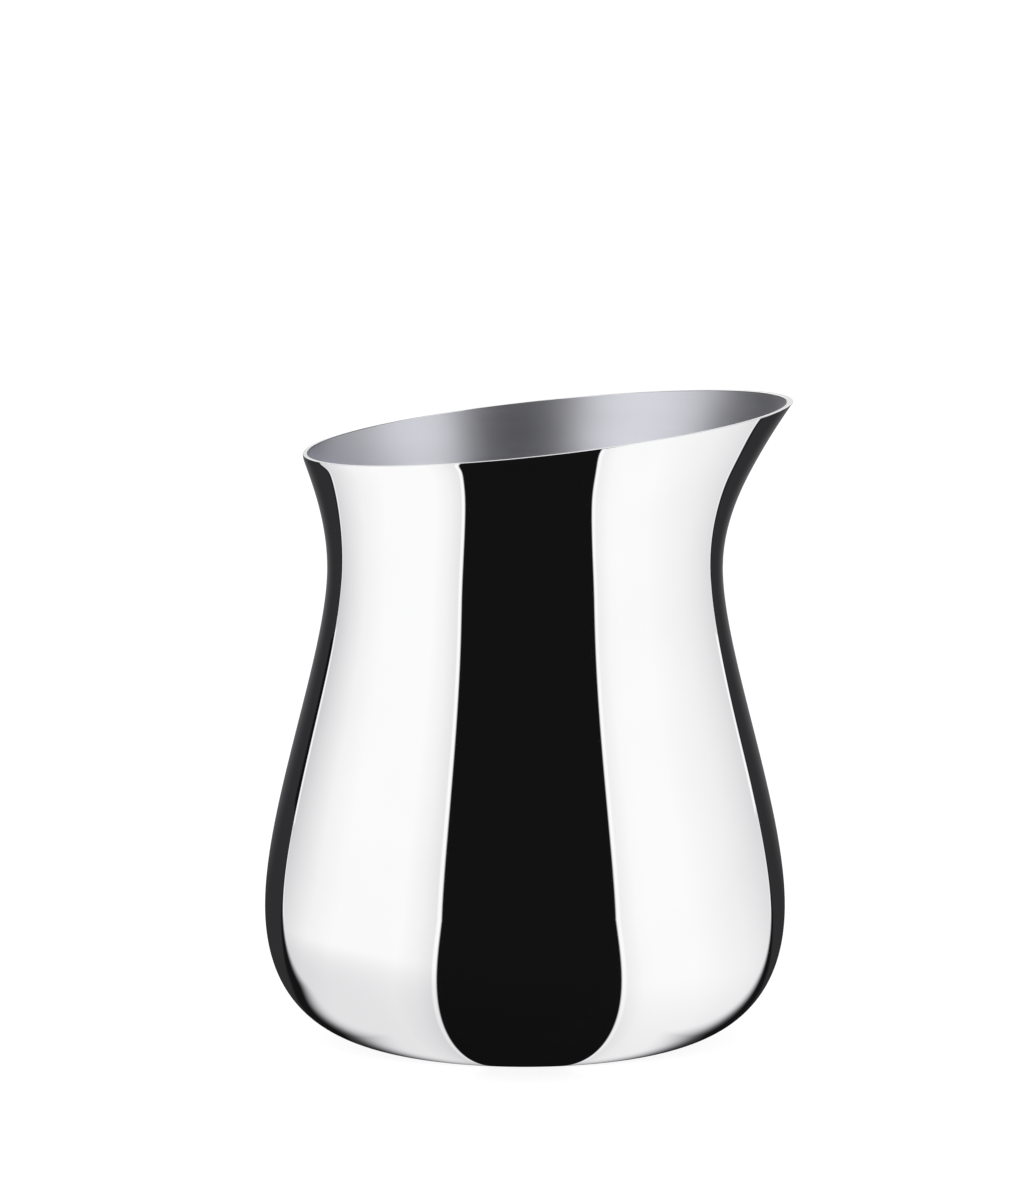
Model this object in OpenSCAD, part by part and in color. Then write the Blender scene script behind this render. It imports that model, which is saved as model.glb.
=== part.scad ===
// Cream jug without a handle: a spun metal wall with a round belly, a neck and a flared lip,
// a floor disc let in from above, and the ring of solder that seals the two.
// Millimetres, +Z up. The origin is the centre of the ring that the jug stands on,
// and the pouring point of the obliquely cut lip is towards +X.

/* [Wall] */
// Outside diameter at the widest part of the belly
belly_d = 70; // [66:0.5:78]
// Height of the widest part of the belly
belly_z = 18.5; // [16:0.5:24]
// Outside diameter at the narrowest part of the neck
neck_d = 53; // [46:0.5:58]
// Height of the narrowest part of the neck
neck_z = 64.5; // [56:0.5:66]
// Thickness of the sheet that the wall is spun from
wall_t = 0.7; // [0.5:0.1:1]

/* [Lip] */
// Outside diameter at the end of the lip's curve
lip_d = 70.6; // [66:0.2:74]
// Height of the end of the lip's curve
lip_z = 87; // [84:0.5:90]
// Lean of the lip outwards from upright, in degrees
lip_lean = 30.6; // [20:0.2:36]
// Height of the mouth's cut at the jug's axis
mouth_z = 83.1; // [80:0.1:84]
// Tilt of the mouth's cut towards the pouring point, in degrees
mouth_tilt = 6.5; // [0:0.1:8]

/* [Foot] */
// Outside diameter of the flat ring that the jug stands on
foot_d = 32; // [28:0.5:36]
// Width of the flange that is turned in under the floor disc
flange_w = 3.5; // [3.5:0.1:5]
// Thickness of the floor disc
disc_t = 0.7; // [0.7:0.1:1.2]
// How far the floor disc lies over the flange
disc_lap = 2.1; // [1.5:0.1:2.4]
// Width of the solder ring on the flange
solder_w = 1; // [0.5:0.1:1.1]
// Height of the solder ring against the disc's edge
solder_h = 0.6; // [0.3:0.1:0.7]

/* [Hidden] */

foot_r = foot_d / 2;
belly_r = belly_d / 2;
neck_r = neck_d / 2;
lip_r = lip_d / 2;
flange_r = foot_r - flange_w;
disc_r = flange_r + disc_lap;

// Lengths of the handles of the outline's curves, each along the curve's tangent at its end.
foot_pull = 7.8;
belly_pull_down = 15.5;
neck_pull_down = 11.5;
neck_pull_up = 9;
lip_pull = 9;
// Height above the neck of the lip curve's middle control point
lip_swell = 16.5;
// Straight stretch past the end of the lip's curve, which the mouth's cut trims away
lip_spare = 8;
// Larger than the jug, for the block that the mouth's cut takes away
cut_side = 200;

// Steps along each curve of the outline, and along the hollow of the solder
curve_steps = 16;
solder_steps = 6;
$fn = 96;

// The belly bends equally on both sides of its widest point.
belly_pull_up = belly_pull_down * sqrt((belly_r - neck_r) / (belly_r - foot_r - foot_pull));
// The neck bends equally on both sides of its narrowest point (3/4 and 2/3 are the curvature
// factors of a curve with five and with four control points).
lip_offset = (2 / 3) / (3 / 4) * (belly_r - neck_r) * pow(neck_pull_up / neck_pull_down, 2);
lip_dir = [sin(lip_lean), cos(lip_lean)];
lip_end = [lip_r, lip_z];

foot_curve = [
    [foot_r, 0],
    [foot_r + foot_pull, 0],
    [belly_r, belly_z - belly_pull_down],
    [belly_r, belly_z]
];
belly_curve = [
    [belly_r, belly_z],
    [belly_r, belly_z + belly_pull_up],
    [neck_r, neck_z - neck_pull_down],
    [neck_r, neck_z]
];
lip_curve = [
    [neck_r, neck_z],
    [neck_r, neck_z + neck_pull_up],
    [neck_r + lip_offset, neck_z + lip_swell],
    lip_end - lip_pull * lip_dir,
    lip_end
];

// A point on the Bezier curve with control points p, and the direction of the curve there
function mix(a, b, t) = a * (1 - t) + b * t;
function narrow(p, t) = [for (i = [0 : len(p) - 2]) mix(p[i], p[i + 1], t)];
function on_curve(p, t) = len(p) == 1 ? p[0] : on_curve(narrow(p, t), t);
function along_curve(p, t) = len(p) == 2 ? p[1] - p[0] : along_curve(narrow(p, t), t);

// The point at depth d inside the curve, measured square to the sheet
function inward(v) = [-v[1], v[0]] / norm(v);
function sheet_point(p, t, d) = on_curve(p, t) + d * inward(along_curve(p, t));
function sheet_curve(p, d, first) =
    [for (i = [first : curve_steps]) sheet_point(p, i / curve_steps, d)];

// The wall's outline at depth d, from the foot to the end of the spare stretch at the lip
function wall_line(d) = concat(
    sheet_curve(foot_curve, d, 0),
    sheet_curve(belly_curve, d, 1),
    sheet_curve(lip_curve, d, 1),
    [lip_end + lip_spare * lip_dir + d * inward(lip_dir)]
);

function backwards(list) = [for (i = [len(list) - 1 : -1 : 0]) list[i]];

// The wall: one sheet from the turned-in flange to the lip, with its mouth cut on a slant
module jug_body() {
    color("silver")
    difference() {
        rotate_extrude()
        polygon(concat(
            [[flange_r, wall_t], [flange_r, 0]],
            wall_line(0),
            backwards(wall_line(wall_t))
        ));
        translate([0, 0, mouth_z])
        rotate([0, -mouth_tilt, 0])
        translate([-cut_side / 2, -cut_side / 2, 0])
        cube(cut_side);
    }
}

// The floor: a flat disc that lies on the flange, so its underside is clear of the table
module base_disc() {
    color("lightsteelblue")
    translate([0, 0, wall_t])
    cylinder(h = disc_t, r = disc_r);
}

// The solder: a hollow fillet in the corner between the disc's edge and the flange
module seam_solder() {
    color("darkgray")
    rotate_extrude()
    polygon(concat(
        [[disc_r, wall_t]],
        [for (i = [0 : solder_steps])
            let (a = 90 * i / solder_steps)
            [disc_r + solder_w * (1 - sin(a)), wall_t + solder_h * (1 - cos(a))]]
    ));
}

jug_body();
base_disc();
seam_solder();
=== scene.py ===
"""A handle-less cream jug: its finished wall, floor disc and solder, in a plain white studio.

Metres, +Z up, the pouring point towards +X, the camera on the -Y side.
"""

import math

import bpy
import numpy as np
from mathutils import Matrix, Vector


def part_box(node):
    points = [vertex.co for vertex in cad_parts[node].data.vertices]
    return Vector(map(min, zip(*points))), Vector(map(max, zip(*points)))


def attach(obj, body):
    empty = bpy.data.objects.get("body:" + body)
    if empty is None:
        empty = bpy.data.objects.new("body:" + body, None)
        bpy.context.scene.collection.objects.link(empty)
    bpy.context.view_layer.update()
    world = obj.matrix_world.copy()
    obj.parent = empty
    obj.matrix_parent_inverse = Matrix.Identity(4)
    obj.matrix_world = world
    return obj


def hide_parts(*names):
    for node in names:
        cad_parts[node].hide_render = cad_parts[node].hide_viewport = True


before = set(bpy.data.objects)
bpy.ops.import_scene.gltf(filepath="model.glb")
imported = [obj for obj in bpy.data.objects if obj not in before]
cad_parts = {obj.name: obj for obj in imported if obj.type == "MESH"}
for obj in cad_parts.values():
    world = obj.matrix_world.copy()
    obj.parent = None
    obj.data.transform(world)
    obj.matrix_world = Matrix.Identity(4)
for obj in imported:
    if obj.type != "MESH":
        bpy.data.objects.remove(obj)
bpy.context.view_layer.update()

MM = 0.001
MICRON = 0.001 * MM
BODY = "root"

# ---------------------------------------------------------------- sizes

WALL_LOW, WALL_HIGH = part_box("jug_body")
DISC_LOW, DISC_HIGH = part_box("base_disc")
SOLDER_LOW, SOLDER_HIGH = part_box("seam_solder")

BELLY_R = WALL_HIGH.y
SHEET_T = DISC_LOW.z - WALL_LOW.z
DISC_R = DISC_HIGH.x
SOLDER_W = SOLDER_HIGH.x - DISC_R
SOLDER_H = SOLDER_HIGH.z - SOLDER_LOW.z

# The outline of the wall's outer face, from the flange under the floor up to the lip
FLANGE_R = 12.5 * MM
FOOT_R = 16 * MM
BELLY_Z = 18.5 * MM
NECK_R = 26.5 * MM
NECK_Z = 64.5 * MM
LIP_R = 34.1 * MM
LIP_Z = 86.6 * MM
LIP_LEAN = math.radians(29)

# Handles of the outline's curves, each along the curve's tangent at its end
FOOT_PULL = 7.8 * MM
BELLY_PULL_DOWN = 15.5 * MM
NECK_PULL_DOWN = 11.5 * MM
NECK_PULL_UP = 9 * MM
LIP_PULL = 9 * MM
LIP_SWELL = 15 * MM

# The mouth's cut: its height on the axis and its rise per metre towards the pouring point
MOUTH_Z = 83.03 * MM
MOUTH_RISE = 0.108
# How far the lip is drawn towards the pouring point at LIP_Z, and the share by which it is
# narrower from front to back there. Both grow as the square of the height above the neck.
LIP_DRAW = 1.55 * MM
LIP_NARROWS = 0.03
# Depth of the rounding of the cut edge, and of the edges of the flange and the disc
RIM_ROUND = 0.09 * MM
EDGE_ROUND = 0.25 * MM
# How square each rounding is: 2 is a half circle, and more has a flatter middle
RIM_SQUARENESS = 4
EDGE_SQUARENESS = 2
# Buffing has eased the outer face towards the cut edge: how deep there, and over what length
EASE_DEPTH = 0.16 * MM
EASE_LENGTH = 0.8 * MM
# The easing's share round the rim: at the front and back, how much it falls towards the pouring
# point and grows away from it, and the least and most that it is
EASE_MIDDLE = 0.5
EASE_SWING = 1.7
EASE_LEAST, EASE_MOST = 0.1, 1

# The solder ring's middle share of its CAD width and height, and the waves that it wanders by:
# the share, the turns in one round and the phase of each
SOLDER_SHARE = 0.87
SOLDER_WAVES = (
    (0.05, 3, 0.4),
    (0.04, 7, 1.9),
    (0.025, 17, 0.7),
    (0.015, 41, 2.6),
)

# Mesh density: steps round the axis and along each stretch of the outline
ROUND_STEPS = 320
CURVE_STEPS = 48
EDGE_STEPS = 14
FLAT_STEPS = 6
# Radius of a disc's innermost ring, as a share of the disc's
MIDDLE_SHARE = 0.04
# Parameters of the lip curve between which the mouth's cut is found, by halving
SEARCH_LOW, SEARCH_HIGH = 0.3, 1.3
HALVINGS = 40


# ---------------------------------------------------------------- outline

def bezier(points, t):
    """Points on a Bezier curve in (r, z) and the curve's unit direction there, for an array t."""
    level = [np.stack([np.full_like(t, p[0]), np.full_like(t, p[1])], -1) for p in points]
    s = t[..., None]
    while len(level) > 2:
        level = [a * (1 - s) + b * s for a, b in zip(level, level[1:])]
    direction = level[1] - level[0]
    direction /= np.linalg.norm(direction, axis=-1, keepdims=True)
    return level[0] * (1 - s) + level[1] * s, direction


def sheet_point(points, t, depth):
    """The outline's points at a depth inside the outer face, square to the sheet."""
    p, d = bezier(points, t)
    return p + np.asarray(depth)[..., None] * np.stack([-d[..., 1], d[..., 0]], -1), d


def outline_curves():
    """The foot, belly and lip curves. Both joints bend equally on their two sides."""
    belly_pull_up = BELLY_PULL_DOWN * math.sqrt(
        (BELLY_R - NECK_R) / (BELLY_R - FOOT_R - FOOT_PULL)
    )
    # 2/3 and 3/4 are the curvature factors of curves with four and with five control points
    offset = (2 / 3) / (3 / 4) * (BELLY_R - NECK_R) * (NECK_PULL_UP / NECK_PULL_DOWN) ** 2
    lean = (math.sin(LIP_LEAN), math.cos(LIP_LEAN))
    foot = [
        (FOOT_R, 0),
        (FOOT_R + FOOT_PULL, 0),
        (BELLY_R, BELLY_Z - BELLY_PULL_DOWN),
        (BELLY_R, BELLY_Z),
    ]
    belly = [
        (BELLY_R, BELLY_Z),
        (BELLY_R, BELLY_Z + belly_pull_up),
        (NECK_R, NECK_Z - NECK_PULL_DOWN),
        (NECK_R, NECK_Z),
    ]
    lip = [
        (NECK_R, NECK_Z),
        (NECK_R, NECK_Z + NECK_PULL_UP),
        (NECK_R + offset, NECK_Z + LIP_SWELL),
        (LIP_R - LIP_PULL * lean[0], LIP_Z - LIP_PULL * lean[1]),
        (LIP_R, LIP_Z),
    ]
    return foot, belly, lip


FOOT_CURVE, BELLY_CURVE, LIP_CURVE = outline_curves()
ANGLES = np.linspace(0, 2 * math.pi, ROUND_STEPS, endpoint=False)
OUTWARDS = np.stack([np.cos(ANGLES), np.sin(ANGLES), 0 * ANGLES], -1)
MOUTH_UP = np.array([-MOUTH_RISE, 0, 1]) / math.hypot(MOUTH_RISE, 1)
# Length of the lip curve's end per unit of its parameter: its last handle, times its degree
END_SPEED = LIP_PULL * (len(LIP_CURVE) - 1)


def turned(rz):
    """Places an outline point (r, z) for each angle round the axis, with the lip drawn out."""
    r, z = rz[..., 0], rz[..., 1]
    above = np.clip((z - NECK_Z) / (LIP_Z - NECK_Z), 0, None)
    x = r * np.cos(ANGLES) + LIP_DRAW * (above * np.cos(ANGLES)) ** 2
    y = r * np.sin(ANGLES) * (1 - LIP_NARROWS * above ** 2)
    return np.stack([x, y, z], -1)


def ring(r, z):
    """One level ring of the outline, in (r, z) for each angle."""
    return np.stack([np.full_like(ANGLES, r), np.full_like(ANGLES, z)], -1)


def rings_on(points, depth, first, last):
    """Level rings along a curve, from its parameter first to last."""
    ts = np.linspace(first, last, CURVE_STEPS + 1)
    at, _ = sheet_point(points, ts, depth)
    return [turned(ring(r, z)) for r, z in at]


def below_mouth(t, depth):
    """How far the lip's point at parameter t is below the mouth's cut, for each angle."""
    rz, _ = sheet_point(LIP_CURVE, t, depth)
    return MOUTH_Z * MOUTH_UP[2] - turned(rz) @ MOUTH_UP


def lip_end(depth, gap):
    """The lip curve's parameter where it is gap below the mouth's cut, for each angle."""
    low, high = np.full_like(ANGLES, SEARCH_LOW), np.full_like(ANGLES, SEARCH_HIGH)
    for _ in range(HALVINGS):
        middle = (low + high) / 2
        inside = below_mouth(middle, depth) > gap
        low, high = np.where(inside, middle, low), np.where(inside, high, middle)
    return low


def lip_rings(depth, gap, ease):
    """Rings from the level neck up to the slanted mouth, and the sheet's direction at the last.

    The face is eased back by ease at its end. The rings crowd towards that end.
    """
    end = lip_end(depth + ease, gap)
    rings = []
    for k in range(CURVE_STEPS + 1):
        to_end = end * (1 - k / CURVE_STEPS) ** 2
        eased = ease * np.exp(-to_end * END_SPEED / EASE_LENGTH)
        rz, direction = sheet_point(LIP_CURVE, end - to_end, depth + eased)
        rings.append(turned(rz))
    up = np.stack(
        [direction[:, 0] * np.cos(ANGLES), direction[:, 0] * np.sin(ANGLES), direction[:, 1]],
        -1,
    )
    return rings, up


def rounded_edge(start, finish, bulge, squareness):
    """Rings across a sheet's cut edge from start to finish, which stands out by bulge."""
    rings = []
    for k in range(1, EDGE_STEPS):
        a = math.pi * k / EDGE_STEPS
        c, s = math.cos(a), math.sin(a)
        across = (1 - math.copysign(abs(c) ** (2 / squareness), c)) / 2
        rings.append(start + (finish - start) * across + bulge * s ** (2 / squareness))
    return rings


# ---------------------------------------------------------------- meshes

def make_mesh(name, rings, slots, materials, closed=True):
    """A smooth mesh through rings of points. slots gives each strip's material index."""
    count, n = len(rings), len(rings[0])
    strips = count if closed else count - 1
    points = np.concatenate(rings)
    faces = []
    for i in range(strips):
        j = (i + 1) % count
        for k in range(n):
            m = (k + 1) % n
            faces.append((i * n + k, i * n + m, j * n + m, j * n + k))
    mesh = bpy.data.meshes.new(name)
    mesh.from_pydata(points.tolist(), [], faces)
    for material in materials:
        mesh.materials.append(material)
    mesh.polygons.foreach_set("material_index", np.repeat(slots[:strips], n))
    mesh.polygons.foreach_set("use_smooth", [True] * len(faces))
    mesh.update()
    piece = bpy.data.objects.new(name, mesh)
    bpy.context.collection.objects.link(piece)
    return piece


def close_centre(piece, ring_start, height, upwards):
    """Fills the hole inside a disc's innermost ring with a fan round one middle point."""
    mesh = piece.data
    points = [v.co.copy() for v in mesh.vertices] + [Vector((0, 0, height))]
    faces = [tuple(p.vertices) for p in mesh.polygons]
    middle = len(points) - 1
    for k in range(ROUND_STEPS):
        a, b = ring_start + k, ring_start + (k + 1) % ROUND_STEPS
        faces.append((a, b, middle) if upwards else (b, a, middle))
    mesh.clear_geometry()
    mesh.from_pydata(points, [], faces)
    mesh.polygons.foreach_set("use_smooth", [True] * len(faces))
    mesh.update()


OUTSIDE, RIM, INSIDE, FOOT = range(4)


def make_wall(materials):
    """The whole sheet: foot flange, outer face, rounded cut rim, inner face, flange top."""
    rings, slots = [], []

    def add(new, slot):
        rings.extend(new)
        slots.extend([slot] * len(new))

    flat = np.linspace(FLANGE_R + EDGE_ROUND, FOOT_R, FLAT_STEPS + 1)[:-1]
    add([turned(ring(r, 0)) for r in flat], FOOT)
    add(rings_on(FOOT_CURVE, 0, 0, 1)[:-1], OUTSIDE)
    add(rings_on(BELLY_CURVE, 0, 0, 1)[:-1], OUTSIDE)
    share = np.clip(EASE_MIDDLE - EASE_SWING * np.cos(ANGLES), EASE_LEAST, EASE_MOST)
    ease = EASE_DEPTH * share
    outer, outer_up = lip_rings(0, RIM_ROUND, ease)
    inner, inner_up = lip_rings(SHEET_T, RIM_ROUND, 0)
    up = outer_up + inner_up
    up *= RIM_ROUND / (up @ MOUTH_UP)[:, None]
    add(outer[:-1], OUTSIDE)
    add(outer[-1:], RIM)
    add(rounded_edge(outer[-1], inner[-1], up, RIM_SQUARENESS), RIM)
    add(inner[::-1][:-1], INSIDE)
    add(rings_on(BELLY_CURVE, SHEET_T, 1, 0)[:-1], INSIDE)
    add(rings_on(FOOT_CURVE, SHEET_T, 1, 0), INSIDE)
    add([turned(ring(r, SHEET_T)) for r in flat[::-1]], INSIDE)
    top, bottom = rings[-1], rings[0]
    add(rounded_edge(top, bottom, -EDGE_ROUND * OUTWARDS, EDGE_SQUARENESS), FOOT)
    return make_mesh("jug_wall", rings, slots, materials)


def make_disc(materials):
    """The floor disc: flat on both sides, with its edge rounded all round."""
    round_off = EDGE_ROUND / 2
    steps = np.linspace(MIDDLE_SHARE, 1, 2 * FLAT_STEPS) * (DISC_R - round_off)
    under = [turned(ring(r, DISC_LOW.z)) for r in steps]
    over = [turned(ring(r, DISC_HIGH.z)) for r in steps[::-1]]
    edge = rounded_edge(under[-1], over[0], round_off * OUTWARDS, RIM_SQUARENESS)
    rings = under + edge + over
    disc = make_mesh("floor_disc", rings, [0] * len(rings), materials, closed=False)
    close_centre(disc, 0, DISC_LOW.z, False)
    close_centre(disc, (len(rings) - 1) * ROUND_STEPS, DISC_HIGH.z, True)
    return disc


def make_solder(materials):
    """The solder ring: a hollow fillet whose width and height wander a little, as it flowed."""
    wander = sum(
        size * np.sin(turns * ANGLES + phase)
        for size, turns, phase in SOLDER_WAVES
    )
    width, height = SOLDER_W * (SOLDER_SHARE + wander), SOLDER_H * (SOLDER_SHARE - wander)
    base = DISC_LOW.z
    rings = []
    for k in range(EDGE_STEPS + 1):
        a = math.pi / 2 * k / EDGE_STEPS
        r = DISC_R + width * (1 - math.sin(a))
        z = base + height * (1 - math.cos(a))
        rings.append(turned(np.stack([r, z], -1)))
    rings.append(turned(ring(DISC_R, base)))
    return make_mesh("solder_ring", rings, [0] * len(rings), materials)


# ---------------------------------------------------------------- node helpers

class Field:
    """A number that varies over a surface or the sky. Arithmetic on it adds Math nodes."""

    def __init__(self, tree, socket):
        self.tree, self.socket = tree, socket

    def math(self, operation, *others):
        node = self.tree.nodes.new("ShaderNodeMath")
        node.operation = operation
        for i, value in enumerate((self, *others)):
            feed(self.tree, node.inputs[i], value)
        return Field(self.tree, node.outputs[0])

    def __add__(self, other):
        return self.math("ADD", other)

    def __sub__(self, other):
        return self.math("SUBTRACT", other)

    def __mul__(self, other):
        return self.math("MULTIPLY", other)

    def __radd__(self, other):
        return self.math("ADD", other)

    def __rmul__(self, other):
        return self.math("MULTIPLY", other)

    def __neg__(self):
        return self.math("MULTIPLY", -1)

    def __rsub__(self, other):
        return (-self).math("ADD", other)

    def __abs__(self):
        return self.math("ABSOLUTE")

    def least(self, *others):
        """The smallest of this and the others."""
        found = self
        for other in others:
            found = found.math("MINIMUM", other)
        return found

    def most(self, *others):
        """The largest of this and the others."""
        found = self
        for other in others:
            found = found.math("MAXIMUM", other)
        return found

    def towards(self, other, share):
        """This where share is 0 and other where it is 1."""
        return self + (other - self) * share

    def above(self, edge, blur):
        """0 well below edge and 1 well above it, with a smooth change blur wide."""
        node = self.tree.nodes.new("ShaderNodeMapRange")
        node.interpolation_type = "SMOOTHSTEP"
        feed(self.tree, node.inputs["Value"], self - edge)
        node.inputs["From Min"].default_value = -blur / 2
        node.inputs["From Max"].default_value = blur / 2
        return Field(self.tree, node.outputs["Result"])


def feed(tree, socket, value):
    """Sets a socket to a number or a colour, or links it to a field or a socket."""
    if isinstance(value, Field):
        value = value.socket
    if isinstance(value, bpy.types.NodeSocket):
        tree.links.new(value, socket)
    else:
        socket.default_value = value


def add_node(tree, kind, settings=(), **inputs):
    """A new node with its settings and its inputs, where _ in an input's name is a space."""
    node = tree.nodes.new("ShaderNode" + kind)
    for key, value in dict(settings).items():
        setattr(node, key, value)
    for key, value in inputs.items():
        feed(tree, node.inputs[key.replace("_", " ")], value)
    return node


def mixed(tree, factor, low, high):
    """A colour between two colours or sockets."""
    node = tree.nodes.new("ShaderNodeMix")
    node.data_type = "RGBA"
    feed(tree, node.inputs["Factor"], factor)
    feed(tree, node.inputs["A"], low)
    feed(tree, node.inputs["B"], high)
    # a Mix node keeps one output for each data type: the third is the colour
    return node.outputs[2]


# ---------------------------------------------------------------- materials

class Metal:
    """A metal surface that was turned on the jug's axis, and the fields that its finish uses."""

    def __init__(self, name):
        self.material = bpy.data.materials.new(name)
        self.material.use_nodes = True
        self.tree = self.material.node_tree
        self.shader = self.tree.nodes["Principled BSDF"]
        self.shader.inputs["Metallic"].default_value = 1.0
        self.place = add_node(self.tree, "TexCoord").outputs["Object"]
        split = add_node(self.tree, "SeparateXYZ", Vector=self.place)
        self.x, self.y, self.z = (Field(self.tree, split.outputs[i]) for i in range(3))
        self.r = (self.x * self.x + self.y * self.y).math("SQRT")

    def noise(self, vector, scale, detail=2.0, rough=0.5):
        """Smooth noise from 0 to 1, about scale cells in a metre of the vector."""
        node = add_node(
            self.tree, "TexNoise", Vector=vector, Scale=scale, Detail=detail, Roughness=rough
        )
        return Field(self.tree, node.outputs["Fac"])

    def lines(self, along, across, detail=3.0, rough=0.5):
        """Noise drawn out along the level turning lines: its cells per metre along and across."""
        node = add_node(
            self.tree, "CombineXYZ",
            X=self.x * along, Y=self.y * along, Z=(self.z + self.r) * across,
        )
        return self.noise(node.outputs[0], 1.0, detail, rough)

    def between(self, share, low, high):
        """A colour between two."""
        return mixed(self.tree, share, low, high)

    def finish(self, colour, roughness, height, depth, anisotropy=0.0, turn=0.0):
        """Feeds the shader. height times depth, in metres, is the relief of the surface.

        Anisotropy draws the gloss out in one direction. turn says how far that is from the level
        lines, as a share of a full turn.
        """
        feed(self.tree, self.shader.inputs["Base Color"], colour)
        feed(self.tree, self.shader.inputs["Roughness"], roughness)
        bump = add_node(self.tree, "Bump", Height=height, Distance=depth, Strength=1.0)
        feed(self.tree, self.shader.inputs["Normal"], bump.outputs["Normal"])
        if anisotropy:
            self.shader.inputs["Anisotropic"].default_value = anisotropy
            self.shader.inputs["Anisotropic Rotation"].default_value = turn
            tangent = add_node(self.tree, "Tangent", {"direction_type": "RADIAL", "axis": "Z"})
            feed(self.tree, self.shader.inputs["Tangent"], tangent.outputs[0])
        return self.material


def mirror_metal():
    """The outer face: buffed to a mirror, with a breath of haze and hair-fine buffing lines."""
    m = Metal("mirror_polished_metal")
    haze = m.noise(m.place, scale=55.0, detail=3.0).above(0.6, blur=0.5)
    lines = m.lines(along=45.0, across=2600.0)
    swirl = m.noise(m.place, scale=900.0)
    return m.finish(
        colour=m.between(haze, (0.965, 0.965, 0.968, 1), (0.94, 0.94, 0.946, 1)),
        roughness=0.012 + haze * 0.012 + lines * 0.008,
        height=lines * 0.7 + swirl * 0.3,
        depth=0.08 * MICRON,
    )


def satin_metal():
    """The inner face: satin from spinning, with fine level lines that spread light up and down."""
    m = Metal("satin_spun_metal")
    bands = m.lines(along=12.0, across=350.0, detail=2.0)
    lines = m.lines(along=60.0, across=4200.0, detail=4.0, rough=0.7)
    cloud = m.noise(m.place, scale=70.0, detail=3.0)
    return m.finish(
        colour=m.between(cloud, (0.77, 0.775, 0.835, 1), (0.815, 0.82, 0.875, 1)),
        roughness=0.31 + bands * 0.06 + lines * 0.10,
        height=lines,
        depth=3 * MICRON,
        anisotropy=0.3,
        turn=0.25,
    )


def rim_metal():
    """The cut edge: ground flat and buffed, with faint marks that run along it."""
    m = Metal("buffed_rim_metal")
    marks = m.lines(along=90.0, across=3000.0)
    return m.finish(
        colour=m.between(marks, (0.95, 0.95, 0.955, 1), (0.975, 0.975, 0.98, 1)),
        roughness=0.05 + marks * 0.06,
        height=marks,
        depth=0.6 * MICRON,
    )


def foot_metal():
    """The standing ring: buffed, then scuffed dull in short strokes by the table."""
    m = Metal("scuffed_foot_metal")
    strokes = m.lines(along=380.0, across=2400.0, detail=4.0, rough=0.65)
    patches = m.noise(m.place, scale=260.0, detail=3.0)
    worn = (strokes * patches).above(0.27, blur=0.35)
    return m.finish(
        colour=m.between(worn, (0.93, 0.93, 0.935, 1), (0.80, 0.80, 0.81, 1)),
        roughness=0.07 + worn * 0.30,
        height=strokes,
        depth=2 * MICRON,
    )


def disc_metal():
    """The floor disc: faced on a lathe, so its fine rings catch the light as a fan."""
    m = Metal("turned_disc_metal")
    # radians of the cutting tool's wave per metre of radius
    cut = (m.r * 9000.0).math("SINE") * 0.5 + 0.5
    lines = m.lines(along=40.0, across=3800.0, rough=0.6)
    cloud = m.noise(m.place, scale=120.0, detail=3.0)
    return m.finish(
        colour=m.between(cloud, (0.82, 0.82, 0.835, 1), (0.90, 0.90, 0.91, 1)),
        roughness=0.22 + lines * 0.12,
        height=cut * 0.5 + lines * 0.5,
        depth=3 * MICRON,
        anisotropy=0.6,
        turn=0.25,
    )


def solder_metal():
    """The solder: a duller, faintly pitted grey with flow ripples."""
    m = Metal("flowed_solder_metal")
    ripple = m.lines(along=500.0, across=900.0)
    pits = m.noise(m.place, scale=5200.0).above(0.66, blur=0.1)
    return m.finish(
        colour=m.between(ripple, (0.50, 0.50, 0.52, 1), (0.68, 0.68, 0.69, 1)),
        roughness=0.30 + ripple * 0.18 + pits * 0.2,
        height=ripple - pits * 0.5,
        depth=20 * MICRON,
    )


# ---------------------------------------------------------------- studio

# The photographer's tent is two white side sheets. They leave a black gap behind the camera and a
# dark one behind the jug, where a white backdrop shows in the middle. Angles are in degrees. An
# azimuth is measured from the camera's side, and grows towards +X. Each stop is an azimuth and
# the brightness there: hemmed edges are white, and the cloth between them is greyer in places.
GAP_BLACK = 0.0066
LEFT_STOPS = [
    (-135.6, 1.0), (-133.9, 1.0), (-133.0, 0.66), (-120.0, 0.79),
    (-105.0, 0.93), (-88.0, 0.995), (-55.0, 1.0), (-46.0, 0.93), (-39.1, 0.83),
    (-38.3, 1.0), (-37.1, 1.0), (-36.4, GAP_BLACK),
]
RIGHT_STOPS = [
    (40.0, GAP_BLACK), (40.7, 1.0), (41.9, 1.0), (42.7, 0.90), (50.0, 0.985), (56.0, 1.0),
    (75.0, 1.0), (105.0, 0.905), (120.0, 0.83), (135.0, 0.74), (135.8, 1.0), (136.2, 1.0),
]
# Above this elevation each sheet narrows: by a share for each degree, and sideways in degrees
LEAN_FROM = 18.0
LEAN_LEFT = (0.018, -0.087)
LEAN_RIGHT = (0.030, 1.025)
# Azimuth, on either side, of the sheets' back edges. Up to the elevation where the horizon ends
# they are further forward on the left and further back on the right, to meet the straight edges
# on the table.
BACK_EDGE = 136.2
BACK_EDGE_SHIFT_LEFT = -1.2
BACK_EDGE_SHIFT_RIGHT = 2.0
HORIZON_ENDS = 2.0
# The gap behind the jug: black by the sheets' back edges, dark past this azimuth, and greyer
# with the square of the degrees past the next, up to the white backdrop
BEHIND_BLACK = 0.006
BEHIND_DARK, BEHIND_DARK_FROM = 0.03, 139.0
BEHIND_GREY, BEHIND_GREY_FROM = 0.00024, 145.0
BACKDROP_FROM = 172.0
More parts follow.
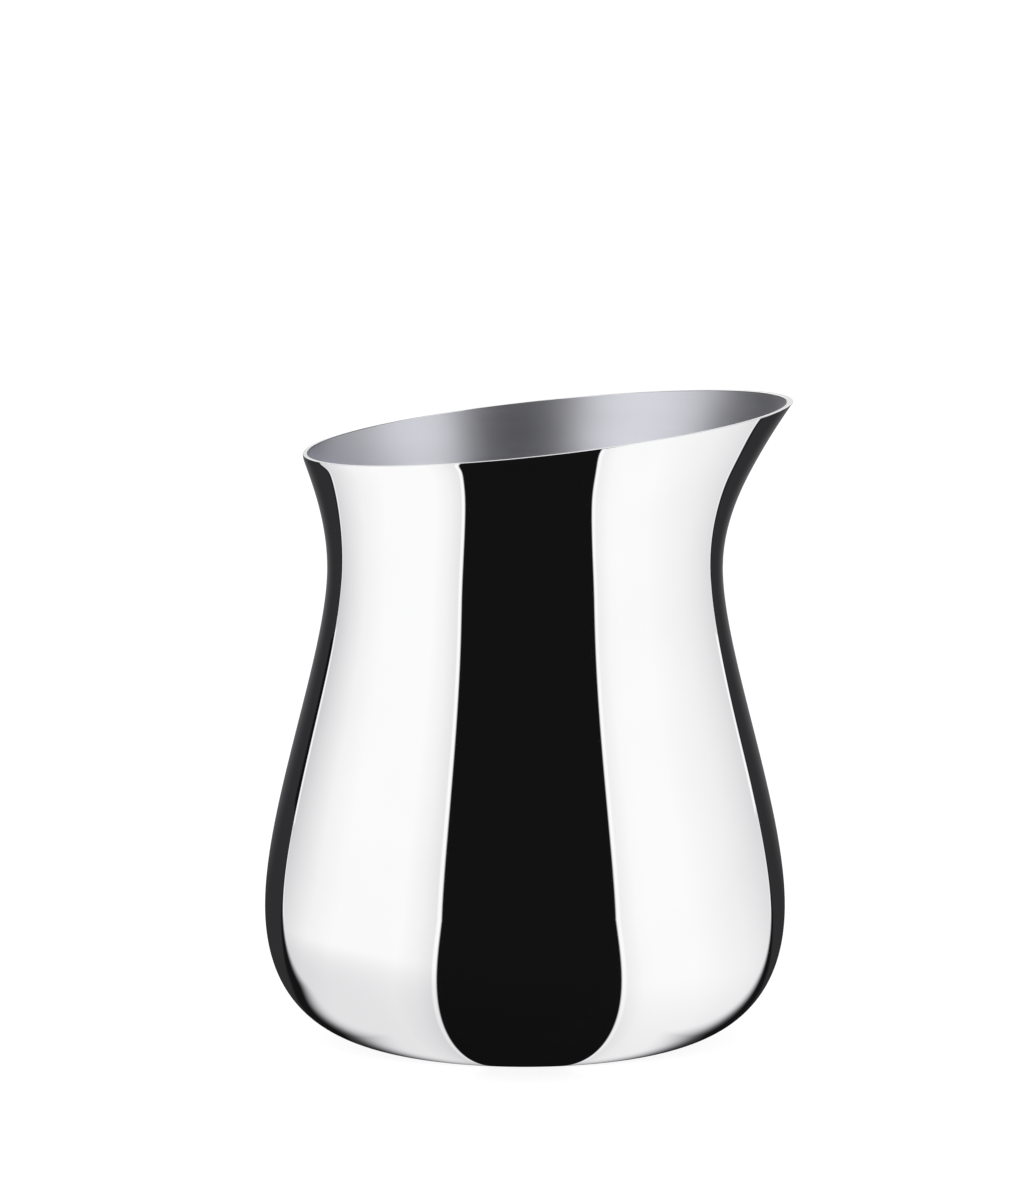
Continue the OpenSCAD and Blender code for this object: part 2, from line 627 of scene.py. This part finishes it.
# The tent is open at the back above an elevation, which falls by a share of the azimuth to the
# least. The dark of the room shows there past an azimuth on each side.
OPEN_START, OPEN_FALL, OPEN_LEAST = 64.0, 0.40, 6.0
OPEN_LEFT_FROM, OPEN_RIGHT_FROM = 105.0, 94.0
OPEN_DARK = 0.01
# On the left the backdrop widens, by degrees for each degree of elevation, to an azimuth
BACKDROP_WIDENS, BACKDROP_LEAST = 1.5, 154.0
# The tent's white roof is above this elevation
ROOF_FROM = 67.0
# Where the tent is darker than white, its colour turns a little blue
SHADE_TINT = (0.955, 0.945, 1.0, 1)
WHITE = (1.0, 1.0, 1.0, 1)

# The floor that the camera sees: its half side, its depth below the jug, and its own light and
# matt grey, which together come out white with a faint shadow at the foot
FLOOR_HALF = 4.0
FLOOR_DEPTH = 0.02 * MM
FLOOR_GLOW = 0.9
FLOOR_GREY = (0.35, 0.35, 0.35, 1)

# The sheets also lie on the table, in front of three straight edges. The first two sizes are in
# metres. Those after them are in millimetres, and there an azimuth is measured from a point that
# is in front of the jug's axis.
TABLE_HALF = 3.0
TABLE_DEPTH = 0.05 * MM
TABLE_CENTRE_Y = -13.0
# Azimuths between which the cloth on the table takes its brightness from the sheets' stops
CLOTH_LEFT, CLOTH_RIGHT = -132.5, 133.0
# Each edge as a factor of x, a factor of y, a length, and a scale for its blur. The first three
# add up to how far a point is past the edge. The edge in front takes x without its sign.
EDGE_LEFT = (1.0, 1.0, 39.0, 0.707)
EDGE_RIGHT = (-1.12, 1.0, 42.5, 0.666)
EDGE_FRONT = (0.6, 1.0, 2.0, 0.35)
# The left edge steps back near the foot: by how much, and within which radius
FOOT_STEP, FOOT_STEP_R = 7.0, 38.0
# The edges are sharper past this radius: their blur's scale near the jug, and what it gains
SHARPER_FROM_R = 60.0
SHARP_NEAR, SHARP_GAIN = 0.6, 0.5
# The dark behind the edges, the radius where it turns into the gap behind the jug, and the share
# of it that is left within a distance of the edges
TABLE_DARK = 0.03
GAP_FROM_R = 160.0
ALONG_EDGE, ALONG_WIDTH = 0.25, 6.0
# The edges' white hem: its width, how much wider it gets per millimetre of radius, and the
# radius where it starts
HEM_WIDTH, HEM_GROWS, HEM_FROM_R = 2.0, 0.008, 130.0
# A soft shade painted on the cloth near the jug: its middle, its radius and how much light it
# takes
SHADE_X, SHADE_Y, SHADE_R = -26.0, 8.0, 55.0
SHADE_TAKES = 0.2
# The jug's contact shadow, painted into the table's light: the y of its middle, and its radius
CONTACT_Y, CONTACT_R = 20.0, 40.2


def by_azimuth(tree, azimuth, stops):
    """The brightness at an azimuth, between stops that may be crowded."""
    ramp = tree.nodes.new("ShaderNodeValToRGB")
    low, high = stops[0][0], stops[-1][0]
    feed(tree, ramp.inputs["Fac"], (azimuth - low) * (1 / (high - low)))
    elements = ramp.color_ramp.elements
    for i, (angle, grey) in enumerate(stops):
        at = (angle - low) / (high - low)
        element = elements[i] if i < 2 else elements.new(at)
        element.position = at
        element.color = (grey, grey, grey, 1)
    return Field(tree, ramp.outputs["Color"])


def behind_jug(azimuth):
    """The brightness of the gap behind the jug and of the backdrop in its middle."""
    side = abs(azimuth)
    inwards = (side - BEHIND_GREY_FROM).most(0.0)
    grey = inwards * inwards * BEHIND_GREY + BEHIND_DARK
    dark = (grey - BEHIND_BLACK) * side.above(BEHIND_DARK_FROM, blur=1.5) + BEHIND_BLACK
    return dark.towards(1.0, side.above(BACKDROP_FROM, blur=1.5))


def sheets(tree, azimuth, over=0.0, horizon=0.0):
    """The brightness of both sheets and both gaps, at an azimuth.

    over is the degrees above LEAN_FROM. horizon is 1 where the sheets meet the table, whose
    straight edges they then line up with.
    """
    left = azimuth * (over * LEAN_LEFT[0] + 1.0) - over * LEAN_LEFT[1]
    right = azimuth * (over * LEAN_RIGHT[0] + 1.0) - over * LEAN_RIGHT[1]
    on_right = azimuth.above(0.0, blur=2.0)
    leant = left.towards(right, on_right)
    light = by_azimuth(tree, left, LEFT_STOPS)
    light = light.towards(by_azimuth(tree, right, RIGHT_STOPS), on_right)
    shift = on_right * (BACK_EDGE_SHIFT_RIGHT - BACK_EDGE_SHIFT_LEFT) + BACK_EDGE_SHIFT_LEFT
    back_edge = BACK_EDGE + horizon * shift
    past = (abs(leant) - back_edge).above(0.0, blur=0.6)
    return light.towards(behind_jug(leant), past)


def shaded(tree, light):
    """The tent's colour at a brightness."""
    return mixed(tree, light, SHADE_TINT, WHITE)


def tent_light(tree):
    """The tent's brightness in each direction, as a field."""
    split = add_node(tree, "SeparateXYZ", Vector=add_node(tree, "TexCoord").outputs["Generated"])
    x, y, z = (Field(tree, split.outputs[i]) for i in range(3))
    azimuth = x.math("ARCTAN2", -y) * math.degrees(1)
    elevation = z.math("ARCSINE") * math.degrees(1)
    over = (elevation - LEAN_FROM).most(0.0)
    light = sheets(tree, azimuth, over, 1.0 - elevation.above(HORIZON_ENDS, blur=4.0))

    start = (OPEN_START - abs(azimuth) * OPEN_FALL).most(OPEN_LEAST)
    over_back = (elevation - start).above(0.0, blur=10.0)
    open_left = (-azimuth).above(OPEN_LEFT_FROM, blur=16.0)
    open_back = open_left.most(azimuth.above(OPEN_RIGHT_FROM, blur=24.0))
    light = light.towards(OPEN_DARK, over_back * open_back)

    wider = (elevation - OPEN_LEAST) * BACKDROP_WIDENS
    backdrop_edge = (BACKDROP_FROM - wider).most(BACKDROP_LEAST).least(BACKDROP_FROM)
    backdrop_left = (-azimuth - backdrop_edge).above(0.0, blur=4.0)
    backdrop = backdrop_left.most(azimuth.above(BACKDROP_FROM, blur=4.0))
    light = light.towards(1.0, over_back * backdrop)
    return light.towards(1.0, elevation.above(ROOF_FROM, blur=10.0))


def make_world():
    """The tent as the world, and plain white wherever the camera looks past the jug."""
    world = bpy.data.worlds.new("tent")
    bpy.context.scene.world = world
    world.use_nodes = True
    tree = world.node_tree
    tree.nodes.clear()
    light = tent_light(tree)
    tent = add_node(tree, "Background", Color=shaded(tree, light), Strength=light)
    backdrop = add_node(tree, "Background", Color=WHITE, Strength=1.0)
    choice = add_node(tree, "MixShader")
    feed(tree, choice.inputs[0], add_node(tree, "LightPath").outputs["Is Camera Ray"])
    feed(tree, choice.inputs[1], tent.outputs[0])
    feed(tree, choice.inputs[2], backdrop.outputs[0])
    feed(tree, add_node(tree, "OutputWorld").inputs["Surface"], choice.outputs[0])


def stage_plane(name, half, height):
    """A level square for the studio, with an empty material."""
    corners = [(-half, -half), (half, -half), (half, half), (-half, half)]
    mesh = bpy.data.meshes.new(name)
    mesh.from_pydata([(x, y, height) for x, y in corners], [], [(0, 1, 2, 3)])
    material = bpy.data.materials.new(name)
    material.use_nodes = True
    material.node_tree.nodes.clear()
    mesh.materials.append(material)
    plane = bpy.data.objects.new(name, mesh)
    bpy.context.collection.objects.link(plane)
    return plane, material


def make_floor():
    """A plain white floor that takes a faint contact shadow and doesn't show in the metal."""
    floor, material = stage_plane("floor", FLOOR_HALF, -FLOOR_DEPTH)
    tree = material.node_tree
    glow = add_node(tree, "Emission", Color=WHITE, Strength=FLOOR_GLOW)
    matt = add_node(tree, "BsdfDiffuse", Color=FLOOR_GREY)
    both = add_node(tree, "AddShader")
    feed(tree, both.inputs[0], glow.outputs[0])
    feed(tree, both.inputs[1], matt.outputs[0])
    feed(tree, add_node(tree, "OutputMaterial").inputs["Surface"], both.outputs[0])
    floor.visible_glossy = False
    floor.visible_diffuse = False
    floor.visible_shadow = False


def past_edge(x, y, edge):
    """How far a point on the table is past a straight edge, scaled for the edge's blur."""
    of_x, of_y, length, scale = edge
    return (x * of_x + y * of_y + length) * scale


def table_light(tree, x, y):
    """The brightness of the table as the metal reflects it, at x and y in millimetres."""
    azimuth = x.math("ARCTAN2", -(y - TABLE_CENTRE_Y)) * math.degrees(1)
    r = (x * x + y * y).math("SQRT")
    step = r.above(FOOT_STEP_R, blur=16.0) * FOOT_STEP * EDGE_LEFT[-1]
    edge = (past_edge(x, y, EDGE_LEFT) + step).least(
        past_edge(x, y, EDGE_RIGHT),
        past_edge(abs(x), y, EDGE_FRONT),
    )
    edge = edge * (r.above(SHARPER_FROM_R, blur=60.0) * SHARP_GAIN + SHARP_NEAR)

    # painted shade: the table's light is dimmed near the jug
    off_x, off_y = x - SHADE_X, y - SHADE_Y
    from_shade = (off_x * off_x + off_y * off_y).math("SQRT")
    shade = 1.0 - from_shade.above(SHADE_R, blur=60.0)
    light = sheets(tree, azimuth.most(CLOTH_LEFT).least(CLOTH_RIGHT))
    light = light * (1.0 - shade * SHADE_TAKES)
    hem = (edge + HEM_WIDTH + r * HEM_GROWS).above(0.0, blur=2.5)
    light = light.towards(1.0, hem * r.above(HEM_FROM_R, blur=60.0))

    dark = behind_jug(azimuth).most(TABLE_DARK) - TABLE_DARK
    dark = dark * r.above(GAP_FROM_R, blur=160.0) + TABLE_DARK
    dark = dark * (edge.above(ALONG_WIDTH, blur=3.0) * (1.0 - ALONG_EDGE) + ALONG_EDGE)
    light = light.least(light.towards(dark, edge.above(0.0, blur=4.0)))

    # painted contact shadow: the table's light falls to its dark within a radius of the jug
    from_y = y - CONTACT_Y
    off_contact = (x * x + from_y * from_y).math("SQRT").above(CONTACT_R, blur=6.0)
    return light.least(light * off_contact + (1.0 - off_contact) * TABLE_DARK)


def make_table_sheet():
    """The tent's sheets where they lie on the table, which only the metal's reflections show."""
    sheet, material = stage_plane("table_sheet", TABLE_HALF, -TABLE_DEPTH)
    tree = material.node_tree
    split = add_node(tree, "SeparateXYZ", Vector=add_node(tree, "TexCoord").outputs["Object"])
    x, y = (Field(tree, split.outputs[i]) * (1 / MM) for i in range(2))
    light = table_light(tree, x, y)
    glow = add_node(tree, "Emission", Color=shaded(tree, light), Strength=light)
    feed(tree, add_node(tree, "OutputMaterial").inputs["Surface"], glow.outputs[0])
    material.cycles.emission_sampling = "NONE"
    sheet.visible_camera = False
    sheet.visible_diffuse = False
    sheet.visible_shadow = False


# ---------------------------------------------------------------- camera

CAMERA_DISTANCE = 1.1
CAMERA_RISE = math.radians(8.853)
# The height on the axis that the distance is measured from, and the point aimed at
SIGHT_Z = 45 * MM
AIM = Vector((-1.54 * MM, 0, 59.93 * MM))
LENS_MM = 245.85
CLIP_NEAR, CLIP_FAR = 0.1, 20


def make_camera():
    """The camera at the photograph's viewing angle, a little above the table."""
    data = bpy.data.cameras.new("camera")
    data.lens = LENS_MM
    data.clip_start, data.clip_end = CLIP_NEAR, CLIP_FAR
    camera = bpy.data.objects.new("camera", data)
    back = Vector((0, -math.cos(CAMERA_RISE), math.sin(CAMERA_RISE)))
    camera.location = Vector((0, 0, SIGHT_Z)) + CAMERA_DISTANCE * back
    camera.rotation_mode = "QUATERNION"
    camera.rotation_quaternion = (AIM - camera.location).to_track_quat("-Z", "Y")
    bpy.context.collection.objects.link(camera)
    bpy.context.scene.camera = camera


# ---------------------------------------------------------------- the jug

def place(piece, node):
    """The piece stands for a CAD node, which is hidden, and rides on the jug."""
    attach(piece, BODY)
    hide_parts(node)


make_camera()
make_world()
make_floor()
make_table_sheet()
bpy.context.scene.view_settings.view_transform = "Standard"

place(
    make_wall([mirror_metal(), rim_metal(), satin_metal(), foot_metal()]),
    "jug_body",
)
place(make_disc([disc_metal()]), "base_disc")
place(make_solder([solder_metal()]), "seam_solder")
